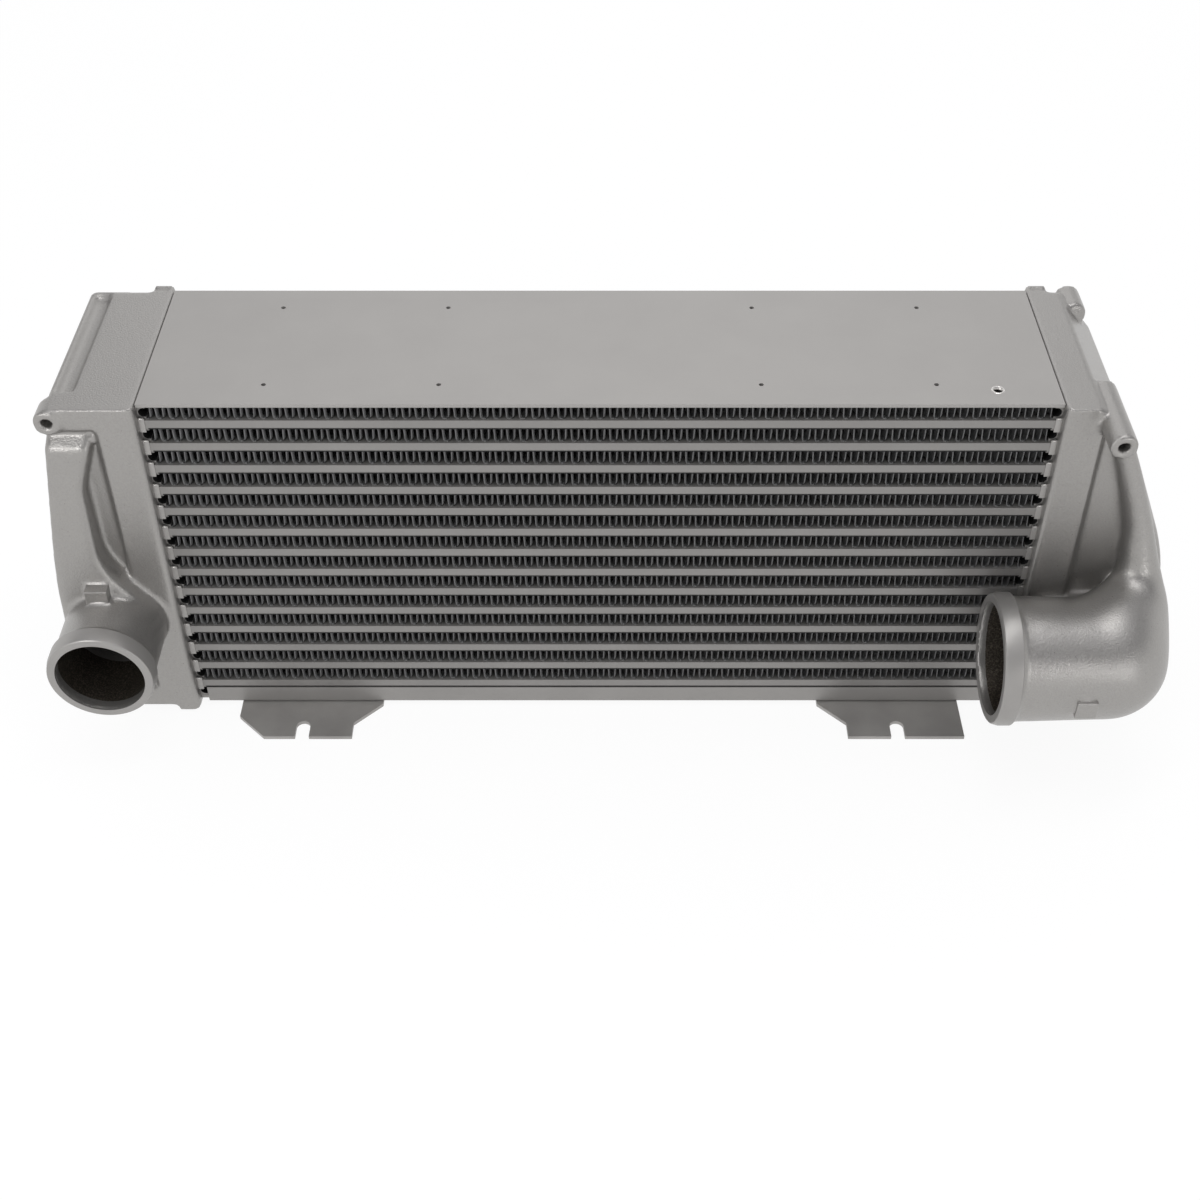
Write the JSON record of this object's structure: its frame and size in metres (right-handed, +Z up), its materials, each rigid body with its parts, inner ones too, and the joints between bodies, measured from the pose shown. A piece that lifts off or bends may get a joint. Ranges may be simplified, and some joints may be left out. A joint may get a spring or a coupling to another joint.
{
  "type": "intercooler",
  "caption": "Air-to-air charge cooler: brazed bar-and-plate core between two cast end tanks, one with a front spigot and one with an elbow, on two slotted feet.",
  "frame": {"origin": "on the plane under the two feet, below the middle of the core", "axes": "+X from the left tank to the right one, +Y the way the cooling air goes through the core, +Z up"},
  "size_m": [0.677, 0.2133, 0.24],
  "materials": {
    "core_plate": "satin rolled sheet",
    "core_bar": "satin",
    "fin_sheet": "thin dull sheet",
    "cast_tank": "rough sand cast",
    "bracket_sheet": "dull speckled sheet"
  },
  "bodies": {
    "root": {"top_plate": "core_plate", "bottom_plate": "core_plate", "lower_rail": "core_plate", "left_foot_bracket": "bracket_sheet", "right_foot_bracket": "bracket_sheet", "left_side_bars": "core_bar", "right_side_bars": "core_bar", "left_tank": "cast_tank", "right_tank": "cast_tank", "charge_tube_01": "core_bar", "charge_tube_02": "core_bar", "charge_tube_03": "core_bar", "charge_tube_04": "core_bar", "charge_tube_05": "core_bar", "charge_tube_06": "core_bar", "charge_tube_07": "core_bar", "charge_tube_08": "core_bar", "charge_tube_09": "core_bar", "charge_tube_10": "core_bar", "charge_tube_11": "core_bar", "charge_tube_12": "core_bar", "charge_tube_13": "core_bar", "charge_tube_14": "core_bar", "inner_fin_01": "fin_sheet", "inner_fin_02": "fin_sheet", "inner_fin_03": "fin_sheet", "inner_fin_04": "fin_sheet", "inner_fin_05": "fin_sheet", "inner_fin_06": "fin_sheet", "inner_fin_07": "fin_sheet", "inner_fin_08": "fin_sheet", "inner_fin_09": "fin_sheet", "inner_fin_10": "fin_sheet", "inner_fin_11": "fin_sheet", "inner_fin_12": "fin_sheet", "inner_fin_13": "fin_sheet", "inner_fin_14": "fin_sheet", "outer_fin_01": "fin_sheet", "outer_fin_02": "fin_sheet", "outer_fin_03": "fin_sheet", "outer_fin_04": "fin_sheet", "outer_fin_05": "fin_sheet", "outer_fin_06": "fin_sheet", "outer_fin_07": "fin_sheet", "outer_fin_08": "fin_sheet", "outer_fin_09": "fin_sheet", "outer_fin_10": "fin_sheet", "outer_fin_11": "fin_sheet", "outer_fin_12": "fin_sheet", "outer_fin_13": "fin_sheet", "outer_fin_14": "fin_sheet", "outer_fin_15": "fin_sheet"}
  },
  "joints": []
}
